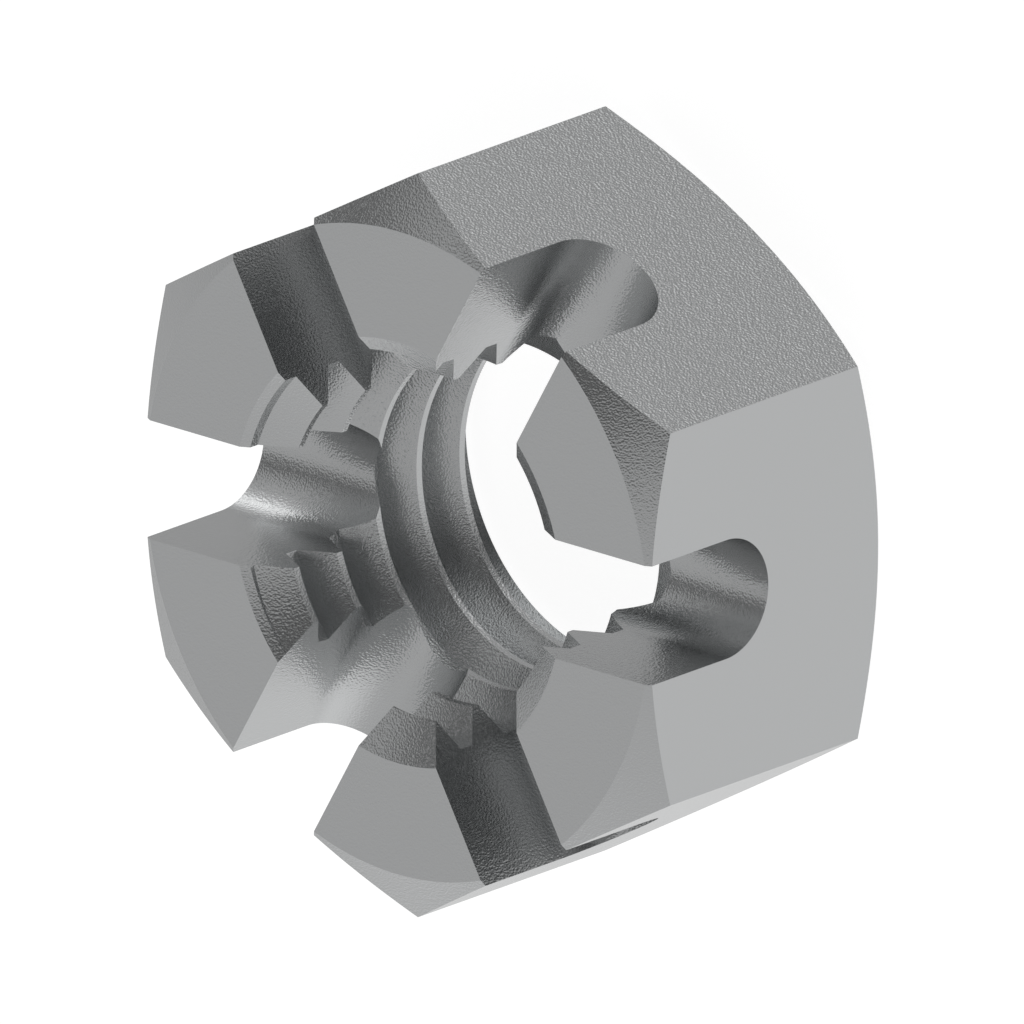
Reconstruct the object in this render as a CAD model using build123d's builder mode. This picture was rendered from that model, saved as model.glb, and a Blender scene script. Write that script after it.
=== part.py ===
from build123d import *
import os
from math import cos, radians, sin, sqrt, tan

# Slotted hexagon nut, also called a castle nut, for an M10 screw. It is turned and milled from one
# bar of hexagon steel, so it is one solid.
# Frame: Z runs along the bore, up towards the slotted crown. X leaves through the middle of a flat
# and of its slot, and Y leaves through a corner. The origin is the centre of the bearing face.

# Hexagon bar, cut to length
across_flats = 16.0
height = 8.0

# Ends turned to a cone that breaks the six corners. The round face inside each cone stays a hair
# within the flats, and the angle is the cone's slope away from that face.
crown_face_inset = 0.02
crown_chamfer_angle = 30.0
bearing_face_inset = 0.02
bearing_chamfer_angle = 30.0

# Tapped bore, solid up to the crests of the thread
thread_diameter = 10.0
thread_pitch = 1.5

# Countersinks that lead the screw in, with the angle from side to side of each cone
crown_countersink_diameter = 10.44
crown_countersink_angle = 120.0
bearing_countersink_diameter = 10.44
bearing_countersink_angle = 120.0

# Slots for the split pin, one through the middle of each flat, with a full round bottom
slot_width = 2.95
slot_depth = 4.15

# How far the cutters run past the metal
overrun = 1.0

flats = 6
flat_radius = across_flats / 2
corner_radius = flat_radius / cos(radians(180 / flats))
cutter_radius = corner_radius + overrun

# Each end cone, from the rim of its round face out to the cutter's radius
crown_face_radius = flat_radius - crown_face_inset
crown_cone_drop = (cutter_radius - crown_face_radius) * tan(radians(crown_chamfer_angle))
bearing_face_radius = flat_radius - bearing_face_inset
bearing_cone_rise = (cutter_radius - bearing_face_radius) * tan(radians(bearing_chamfer_angle))

# The crests of the thread lie 5/8 of its full triangle inside the screw's diameter
thread_triangle = sqrt(3) / 2 * thread_pitch
bore_radius = thread_diameter / 2 - 5 / 8 * thread_triangle

# Each countersink, from its rim down to the bore
crown_sink_radius = crown_countersink_diameter / 2
crown_sink_depth = (crown_sink_radius - bore_radius) / tan(radians(crown_countersink_angle / 2))
bearing_sink_radius = bearing_countersink_diameter / 2
bearing_sink_depth = (bearing_sink_radius - bore_radius) / tan(radians(bearing_countersink_angle / 2))

# The centre of each slot's round bottom, seen along the slot, and the straight run above it
slot_round = slot_width / 2
slot_centre_z = height - slot_depth + slot_round
slot_run = height - slot_centre_z + overrun

# Each cut crosses the nut and makes two opposite slots
slot_angles = [n * 360 / flats for n in range(flats // 2)]
slot_planes = [
    Plane(
        origin=(0, 0, slot_centre_z),
        x_dir=(-sin(radians(angle)), cos(radians(angle)), 0),
        z_dir=(cos(radians(angle)), sin(radians(angle)), 0),
    )
    for angle in slot_angles
]

with BuildPart() as castle_nut:
    # Hexagon blank
    with BuildSketch(Plane.XY):
        RegularPolygon(flat_radius, flats, major_radius=False, rotation=180 / flats)
    extrude(amount=height)

    # Both ends turned to their cones
    with BuildSketch(Plane.XZ):
        with BuildLine():
            Polyline(
                (0, 0),
                (bearing_face_radius, 0),
                (cutter_radius, bearing_cone_rise),
                (cutter_radius, height - crown_cone_drop),
                (crown_face_radius, height),
                (0, height),
                close=True,
            )
        make_face()
    revolve(axis=Axis.Z, mode=Mode.INTERSECT)

    # Bore with a countersink at each end
    with BuildSketch(Plane.XZ):
        with BuildLine():
            Polyline(
                (0, 0),
                (bearing_sink_radius, 0),
                (bore_radius, bearing_sink_depth),
                (bore_radius, height - crown_sink_depth),
                (crown_sink_radius, height),
                (0, height),
                close=True,
            )
        make_face()
    revolve(axis=Axis.Z, mode=Mode.SUBTRACT)

    # Slots milled through the crown
    with BuildSketch(*slot_planes):
        Circle(slot_round)
        Rectangle(slot_width, slot_run, align=(Align.CENTER, Align.MIN))
    extrude(amount=cutter_radius, both=True, mode=Mode.SUBTRACT)

castle_nut.part.label = "castle_nut"

os.makedirs("parts", exist_ok=True)
export_step(castle_nut.part, "parts/castle_nut.step")
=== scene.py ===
import bmesh
import bpy
import numpy as np
from mathutils import Matrix, Vector


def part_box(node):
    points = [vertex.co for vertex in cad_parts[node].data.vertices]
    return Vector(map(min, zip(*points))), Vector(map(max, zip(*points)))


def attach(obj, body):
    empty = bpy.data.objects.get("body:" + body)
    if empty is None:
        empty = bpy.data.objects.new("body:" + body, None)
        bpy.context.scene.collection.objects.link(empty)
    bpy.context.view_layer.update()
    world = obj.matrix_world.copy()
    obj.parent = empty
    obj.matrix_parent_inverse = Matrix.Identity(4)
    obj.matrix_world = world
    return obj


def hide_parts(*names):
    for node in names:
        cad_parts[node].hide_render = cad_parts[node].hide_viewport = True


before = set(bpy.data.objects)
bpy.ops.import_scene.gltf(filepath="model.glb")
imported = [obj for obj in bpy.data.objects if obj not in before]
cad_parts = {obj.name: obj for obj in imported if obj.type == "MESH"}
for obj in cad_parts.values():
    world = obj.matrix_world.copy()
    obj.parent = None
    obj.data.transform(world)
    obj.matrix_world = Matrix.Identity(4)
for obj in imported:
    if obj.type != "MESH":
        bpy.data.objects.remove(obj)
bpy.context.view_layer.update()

# Body of the nut
# A length of hexagon steel bar. Both ends are turned to a cone that breaks the six corners, and the
# bore is drilled, countersunk at each end and tapped with a right-hand thread.
mm = 0.001
nut_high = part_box("castle_nut")[1]
flat_radius = nut_high.x
height = nut_high.z
flats = 6

# The round face inside each end cone stays a hair within the flats, and the cone falls 30 degrees from it
face_inset = 0.02 * mm
face_radius = flat_radius - face_inset
chamfer_slope = np.tan(np.radians(30.0))

# Metric thread. Its crests lie 5/8 of the full triangle inside its roots, and both are flat, so that the
# flanks lean 30 degrees. The start is the height of the middle of a crest over the X axis.
thread_pitch = 1.5 * mm
thread_start = 0.365 * mm
root_radius = 5 * mm
crest_radius = root_radius - 5 / 8 * np.sqrt(3) / 2 * thread_pitch
crest_width = thread_pitch / 8
root_width = thread_pitch / 4
flank_width = (thread_pitch - crest_width - root_width) / 2

# Countersinks of 120 degrees from side to side. Their slope is the radius that they lose with depth.
sink_radius = 5.22 * mm
sink_slope = np.tan(np.radians(60.0))

# The outline is worked out this many times round the nut, and points closer than the gap are joined
steps_round = 360
seam_gap = 0.001 * mm


def hexagon_radius(turn):
    """Distance from the axis to the flats: the flat's own distance over the cosine of the angle from
    the middle of the nearest flat."""
    step = 2 * np.pi / flats
    return flat_radius / np.cos((turn + step / 2) % step - step / 2)


def thread_edges(turn):
    """Radius and height of the thread's edges, lowest first, at each angle in turn. Each pitch has
    four: the two sides of a crest and the two sides of a root. All of them climb by one pitch in a
    full turn, so they start two pitches under the nut, and they go on past its top."""
    first = -2
    last = int(np.ceil(height / thread_pitch)) + 1
    steps = np.cumsum([0, crest_width, flank_width, root_width])
    rise = (thread_pitch * np.arange(first, last)[:, None] + steps).ravel()
    radius = np.tile([crest_radius, crest_radius, root_radius, root_radius], last - first)
    climb = thread_start - crest_width / 2 + thread_pitch * turn / (2 * np.pi)
    return radius[:, None], rise[:, None] + climb


def reach(level, limit, z):
    """Height at which a level that falls from edge to edge comes down to its limit: the lowest edge,
    plus the part of each step between edges that lies before the limit."""
    least_step = 1e-12
    step = np.maximum(level[:-1] - level[1:], least_step)
    return z[0] + (np.clip((level[:-1] - limit) / step, 0, 1) * np.diff(z, axis=0)).sum(0)


def bore_section(turn):
    """The thread's edges, cut off where the countersinks' cones begin. An edge past a cone moves
    back to the point where the thread's outline meets that cone."""
    radius, z = thread_edges(turn)
    top = reach(radius - sink_slope * z, sink_radius - sink_slope * height, z)
    low = -reach((radius + sink_slope * z)[::-1], sink_radius, -z[::-1])
    cut_radius = np.where(z > top, sink_radius - sink_slope * (height - top), radius)
    cut_radius = np.where(z < low, sink_radius - sink_slope * low, cut_radius)
    return cut_radius, np.clip(z, low, top)


def body_section(turn):
    """Closed outline of the nut at each angle in turn: up the bore, out over the crown's face, down
    its cone to the flat, down the flat, and in over the bearing cone and face. A cone falls from its
    face by the slope times the distance outside that face."""
    bore, bore_z = bore_section(turn)
    side = hexagon_radius(turn)
    sink = np.full_like(turn, sink_radius)
    face = np.full_like(turn, face_radius)
    top = np.full_like(turn, height)
    bottom = np.zeros_like(turn)
    drop = chamfer_slope * (side - face)
    radius = np.vstack([bore, sink, face, side, side, face, sink])
    z = np.vstack([bore_z, top, top, top - drop, drop, bottom, bottom])
    return radius, z


def joined_mesh(name, points, faces):
    """A mesh of these points and faces, with points closer than the gap joined."""
    mesh = bpy.data.meshes.new(name)
    mesh.from_pydata(points.tolist(), [], faces.tolist())
    work = bmesh.new()
    work.from_mesh(mesh)
    bmesh.ops.remove_doubles(work, verts=work.verts, dist=seam_gap)
    work.to_mesh(mesh)
    work.free()
    return mesh


turn = np.linspace(0, 2 * np.pi, steps_round + 1)
radius, z = body_section(turn)
points = np.stack([radius * np.cos(turn), radius * np.sin(turn), z], axis=-1).reshape(-1, 3)
here = np.arange(radius.size).reshape(radius.shape)
following = np.roll(here, -1, axis=0)
faces = np.stack([here[:, :-1], following[:, :-1], following[:, 1:], here[:, 1:]], axis=-1).reshape(-1, 4)
body = bpy.data.objects.new("castle_nut_steel", joined_mesh("castle_nut_steel", points, faces))
bpy.context.scene.collection.objects.link(body)

# Slots for the split pin
# Six slots milled through the crown, one through the middle of each flat. The cutter has a full
# round nose, so each slot has straight walls and a round bottom.
slot_width = 2.95 * mm
slot_depth = 4.15 * mm
slot_radius = slot_width / 2
slot_centre_z = height - slot_depth + slot_radius

# Each cutter runs from inside the bore to outside the corners, and stands out above the crown
cutter_start = 3 * mm
cutter_end = 11 * mm
cutter_top = height + 1 * mm
nose_steps = 48

# Edges that turn by more than this stay sharp
sharp_angle = np.radians(20.0)


def slot_cutter(angle):
    """Corner points of one cutter: its outline, a half circle under two straight sides, at a point
    inside the bore and again outside the flats."""
    nose = np.linspace(-np.pi, 0, nose_steps + 1)
    across = slot_radius * np.concatenate([np.cos(nose), [1, -1]])
    up = np.concatenate([slot_centre_z + slot_radius * np.sin(nose), [cutter_top, cutter_top]])
    along = np.repeat([cutter_start, cutter_end], len(across))
    across = np.tile(across, 2)
    up = np.tile(up, 2)
    return np.stack([along * np.cos(angle) - across * np.sin(angle),
                     along * np.sin(angle) + across * np.cos(angle), up], axis=-1)


def cutter_faces(corners):
    """Faces of one cutter whose outline has this many corners: the outline at the start, turned
    over, the outline at the end, and a wall from each corner to the next between the two."""
    start = np.arange(corners)
    end = start + corners
    walls = np.stack([start, np.roll(start, -1), np.roll(end, -1), end], axis=-1)
    return [start[::-1], end, *walls]


cutters = np.stack([slot_cutter(k * 2 * np.pi / flats) for k in range(flats)])
corners = cutters.shape[1]
one_cutter = cutter_faces(corners // 2)
all_faces = [(face + corners * k).tolist() for k in range(flats) for face in one_cutter]
cutter_mesh = bpy.data.meshes.new("slot_cutters")
cutter_mesh.from_pydata(cutters.reshape(-1, 3).tolist(), [], all_faces)
cutter = bpy.data.objects.new("slot_cutters", cutter_mesh)
bpy.context.scene.collection.objects.link(cutter)

cut = body.modifiers.new("slots", "BOOLEAN")
cut.operation = "DIFFERENCE"
cut.solver = "EXACT"
cut.object = cutter
cut_body = body.evaluated_get(bpy.context.evaluated_depsgraph_get())
slotted = bpy.data.meshes.new_from_object(cut_body)
body.modifiers.clear()
body.data = slotted
bpy.data.objects.remove(cutter)

# Broad faces lead the shading at a soft edge, so that they look flat right up to it
slotted.shade_smooth()
slotted.set_sharp_from_angle(angle=sharp_angle)
flat_shading = body.modifiers.new("flat_shading", "WEIGHTED_NORMAL")
flat_shading.keep_sharp = True

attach(body, "root")
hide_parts("castle_nut")

# Steel
# Plain grey steel with no plating. Turning, milling and tumbling leave it evenly matt, with a grain of
# tiny dents that only shows where the reflected light changes quickly.
steel_colour = (0.547, 0.556, 0.559, 1)
steel_roughness = 0.25
grain_size = 0.028 * mm
grain_depth = 0.0078 * mm

# A lump of noise is this share of one of its cells. Along the bore the noise runs at this pace, which
# makes its lumps longer that way.
lump_in_cell = 0.6
pace_along_bore = 0.72


def fine_grain():
    """Node group of the metal's grain: noise in lumps of one size, two fifths as long again along the
    bore as across it, as a height from 0 to 1 for a bump."""
    group = bpy.data.node_groups.new("fine_grain", "ShaderNodeTree")
    group.interface.new_socket("Place", in_out="INPUT", socket_type="NodeSocketVector")
    group.interface.new_socket("Cells per Metre", in_out="INPUT", socket_type="NodeSocketFloat")
    group.interface.new_socket("Height", in_out="OUTPUT", socket_type="NodeSocketFloat")
    inputs = group.nodes.new("NodeGroupInput")
    outputs = group.nodes.new("NodeGroupOutput")
    longer = group.nodes.new("ShaderNodeVectorMath")
    longer.operation = "MULTIPLY"
    longer.inputs[1].default_value = (1, 1, pace_along_bore)
    noise = group.nodes.new("ShaderNodeTexNoise")
    noise.inputs["Detail"].default_value = 0.0
    group.links.new(inputs.outputs["Place"], longer.inputs[0])
    group.links.new(longer.outputs["Vector"], noise.inputs["Vector"])
    group.links.new(inputs.outputs["Cells per Metre"], noise.inputs["Scale"])
    group.links.new(noise.outputs["Fac"], outputs.inputs["Height"])
    return group


steel = bpy.data.materials.new("steel")
steel.use_nodes = True
nodes, links = steel.node_tree.nodes, steel.node_tree.links
metal = nodes["Principled BSDF"]
metal.inputs["Base Color"].default_value = steel_colour
metal.inputs["Metallic"].default_value = 1.0
metal.inputs["Roughness"].default_value = steel_roughness
place = nodes.new("ShaderNodeTexCoord")
grain = nodes.new("ShaderNodeGroup")
grain.node_tree = fine_grain()
grain.inputs["Cells per Metre"].default_value = lump_in_cell / grain_size
bump = nodes.new("ShaderNodeBump")
bump.inputs["Strength"].default_value = 1.0
bump.inputs["Distance"].default_value = grain_depth
links.new(place.outputs["Object"], grain.inputs["Place"])
links.new(grain.outputs["Height"], bump.inputs["Height"])
links.new(bump.outputs["Normal"], metal.inputs["Normal"])
body.data.materials.clear()
body.data.materials.append(steel)

# Floor
# A plain pale sheet under the nut. It glows, so it stays near white with only a faint shadow. Its
# underside is clear for views from below, and the steel mirrors the room instead of it.
floor_side = 1.0
floor_colour = (0.35, 0.35, 0.35, 1)
floor_glow = 0.9
floor_corners = floor_side / 2 * np.array([(-1, -1, 0), (1, -1, 0), (1, 1, 0), (-1, 1, 0)])
floor_mesh = bpy.data.meshes.new("floor")
floor_mesh.from_pydata(floor_corners.tolist(), [], [(0, 1, 2, 3)])
floor = bpy.data.objects.new("floor", floor_mesh)
bpy.context.scene.collection.objects.link(floor)
floor.visible_glossy = False
pale = bpy.data.materials.new("pale_floor")
pale.use_nodes = True
nodes, links = pale.node_tree.nodes, pale.node_tree.links
sheet = nodes["Principled BSDF"]
sheet.inputs["Base Color"].default_value = floor_colour
sheet.inputs["Roughness"].default_value = 1.0
sheet.inputs["Specular IOR Level"].default_value = 0.0
sheet.inputs["Emission Color"].default_value = (1, 1, 1, 1)
sheet.inputs["Emission Strength"].default_value = floor_glow
side_seen = nodes.new("ShaderNodeNewGeometry")
clear = nodes.new("ShaderNodeBsdfTransparent")
one_sided = nodes.new("ShaderNodeMixShader")
links.new(side_seen.outputs["Backfacing"], one_sided.inputs["Fac"])
links.new(sheet.outputs["BSDF"], one_sided.inputs[1])
links.new(clear.outputs["BSDF"], one_sided.inputs[2])
links.new(one_sided.outputs["Shader"], nodes["Material Output"].inputs["Surface"])
floor_mesh.materials.append(pale)

# Camera
# A parallel view down onto the crown, from almost over a corner. It is rolled so that the nut stands on
# edge in the picture.
view_turn = 27.043
view_rise = 44.468
view_roll = -109.667
view_width = 24.044 * mm
view_distance = 200 * mm


def facing(front, side, top, turn, rise, spin):
    """Place, width and height, as directions, of a thing that faces the nut. Its place is turned by
    turn degrees from the front to the side and raised by rise degrees to the top. Its width is
    level, its height is square to both, and they are spun by spin degrees about its place."""
    turn, rise, spin = np.radians((turn, rise, spin))
    ahead = (front * np.cos(turn) + side * np.sin(turn)) * np.cos(rise) + top * np.sin(rise)
    level = side * np.cos(turn) - front * np.sin(turn)
    steep = ahead.cross(level)
    return ahead, level * np.cos(spin) + steep * np.sin(spin), steep * np.cos(spin) - level * np.sin(spin)


nut_axes = Vector((1, 0, 0)), Vector((0, 1, 0)), Vector((0, 0, 1))
toward, image_right, image_up = facing(*nut_axes, view_turn, view_rise, view_roll)

# The middle of the picture lies to the right of and above a point on the bore's axis, near the crown
aim_height = 7.281 * mm
aim_right = 2.2108 * mm
aim_up = 0.7819 * mm
target = Vector((0, 0, aim_height)) + aim_right * image_right + aim_up * image_up
camera_place = target + view_distance * toward
camera_data = bpy.data.cameras.new("camera")
camera_data.type = "ORTHO"
camera_data.ortho_scale = view_width
camera_data.clip_start = 10 * mm
camera_data.clip_end = 1000 * mm
camera = bpy.data.objects.new("camera", camera_data)
bpy.context.scene.collection.objects.link(camera)
camera_turn = Matrix((image_right, image_up, toward)).transposed().to_4x4()
camera.matrix_world = Matrix.Translation(camera_place) @ camera_turn
bpy.context.scene.camera = camera
bpy.context.scene.view_settings.view_transform = "Standard"

# Studio
# A plain room, upright in the picture. It has a pale corner and a pale side low down on the right, and a
# dark ceiling with a long soft box and a small grey panel. The camera sees plain white instead.

# The light of the walls, and what it loses towards the right, the top and the viewer
room_level = 0.512
room_fall = -0.018 * image_right - 0.129 * image_up - 0.047 * toward

# Where a Mix node for colours has its two inputs and its output
mix_first, mix_second, mix_result = 6, 7, 2


def panel_group():
    """Node group of a flat panel with soft edges, laid over the light behind it. A direction meets
    the panel at its part along the width or height over its part towards the panel, and the panel
    fades out smoothly from an edge inside its half size to an edge outside it."""
    group = bpy.data.node_groups.new("studio_panel", "ShaderNodeTree")
    for name, kind in (("Direction", "Vector"), ("Behind", "Color"), ("Towards", "Vector"),
                       ("Widthways", "Vector"), ("Heightways", "Vector"), ("Half Width", "Float"),
                       ("Half Height", "Float"), ("Edge", "Float"), ("Light", "Color")):
        group.interface.new_socket(name, in_out="INPUT", socket_type="NodeSocket" + kind)
    group.interface.new_socket("Light", in_out="OUTPUT", socket_type="NodeSocketColor")
    inputs = group.nodes.new("NodeGroupInput").outputs
    outputs = group.nodes.new("NodeGroupOutput").inputs
    least_ahead = 0.001

    def part_along(axis):
        """The direction's part along one of the panel's own axes."""
        product = group.nodes.new("ShaderNodeVectorMath")
        product.operation = "DOT_PRODUCT"
        group.links.new(inputs["Direction"], product.inputs[0])
        group.links.new(inputs[axis], product.inputs[1])
        return product.outputs["Value"]

    def worked_out(operation, first, second):
        """One step of arithmetic, on two numbers or outputs of other nodes."""
        step = group.nodes.new("ShaderNodeMath")
        step.operation = operation
        for socket, value in zip(step.inputs, (first, second)):
            if isinstance(value, (int, float)):
                socket.default_value = value
            else:
                group.links.new(value, socket)
        return step.outputs["Value"]

    ahead = part_along("Towards")
    cover = worked_out("GREATER_THAN", ahead, 0)
    for axis, size in (("Widthways", "Half Width"), ("Heightways", "Half Height")):
        distance = worked_out("ABSOLUTE", part_along(axis), 0)
        aside = worked_out("DIVIDE", distance, worked_out("MAXIMUM", ahead, least_ahead))
        fade = group.nodes.new("ShaderNodeMapRange")
        fade.interpolation_type = "SMOOTHSTEP"
        group.links.new(aside, fade.inputs["Value"])
        group.links.new(worked_out("SUBTRACT", inputs[size], inputs["Edge"]), fade.inputs["From Min"])
        group.links.new(worked_out("ADD", inputs[size], inputs["Edge"]), fade.inputs["From Max"])
        fade.inputs["To Min"].default_value = 1
        fade.inputs["To Max"].default_value = 0
        cover = worked_out("MULTIPLY", cover, fade.outputs["Result"])
    lay = group.nodes.new("ShaderNodeMix")
    lay.data_type = "RGBA"
    group.links.new(cover, lay.inputs["Factor"])
    group.links.new(inputs["Behind"], lay.inputs[mix_first])
    group.links.new(inputs["Light"], lay.inputs[mix_second])
    group.links.new(lay.outputs[mix_result], outputs["Light"])
    return group


world = bpy.data.worlds.new("studio")
bpy.context.scene.world = world
world.use_nodes = True
nodes, links = world.node_tree.nodes, world.node_tree.links
direction = nodes.new("ShaderNodeTexCoord").outputs["Generated"]
fall = nodes.new("ShaderNodeVectorMath")
fall.operation = "DOT_PRODUCT"
fall.inputs[1].default_value = room_fall
links.new(direction, fall.inputs[0])
walls = nodes.new("ShaderNodeMath")
walls.operation = "ADD"
walls.inputs[1].default_value = room_level
links.new(fall.outputs["Value"], walls.inputs[0])
panel_tree = panel_group()


def lay_panel(behind, name, turn, rise, spin, half_width, half_height, edge, brightness):
    """A panel in the room. It faces the nut from a direction that is turned from the viewer to the
    picture's right, raised to the picture's top and spun, all in degrees. Its half sizes and edge
    are shares of its distance."""
    ahead, widthways, heightways = facing(toward, image_right, image_up, turn, rise, spin)
    panel = nodes.new("ShaderNodeGroup")
    panel.node_tree = panel_tree
    panel.label = name
    panel.inputs["Towards"].default_value = ahead
    panel.inputs["Widthways"].default_value = widthways
    panel.inputs["Heightways"].default_value = heightways
    panel.inputs["Half Width"].default_value = half_width
    panel.inputs["Half Height"].default_value = half_height
    panel.inputs["Edge"].default_value = edge
    panel.inputs["Light"].default_value = (brightness, brightness, brightness, 1)
    links.new(direction, panel.inputs["Direction"])
    links.new(behind, panel.inputs["Behind"])
    return panel.outputs["Light"]


light = walls.outputs["Value"]
light = lay_panel(light, "dark ceiling", turn=-11, rise=56, spin=-12,
                  half_width=3.34, half_height=1.94, edge=0.16, brightness=0.11)
light = lay_panel(light, "pale corner", turn=125, rise=-52, spin=0,
                  half_width=1.91, half_height=1.02, edge=0.94, brightness=0.968)
light = lay_panel(light, "soft box", turn=2, rise=90, spin=62,
                  half_width=0.33, half_height=0.9, edge=0.36, brightness=1.953)
light = lay_panel(light, "pale side", turn=110, rise=-20, spin=-15,
                  half_width=0.77, half_height=0.47, edge=0.29, brightness=0.799)
light = lay_panel(light, "grey panel", turn=-75, rise=42, spin=40,
                  half_width=0.24, half_height=0.61, edge=0.15, brightness=0.558)
ray = nodes.new("ShaderNodeLightPath")
seen = nodes.new("ShaderNodeMix")
seen.data_type = "RGBA"
seen.inputs[mix_second].default_value = (1, 1, 1, 1)
links.new(ray.outputs["Is Camera Ray"], seen.inputs["Factor"])
links.new(light, seen.inputs[mix_first])
links.new(seen.outputs[mix_result], nodes["Background"].inputs["Color"])
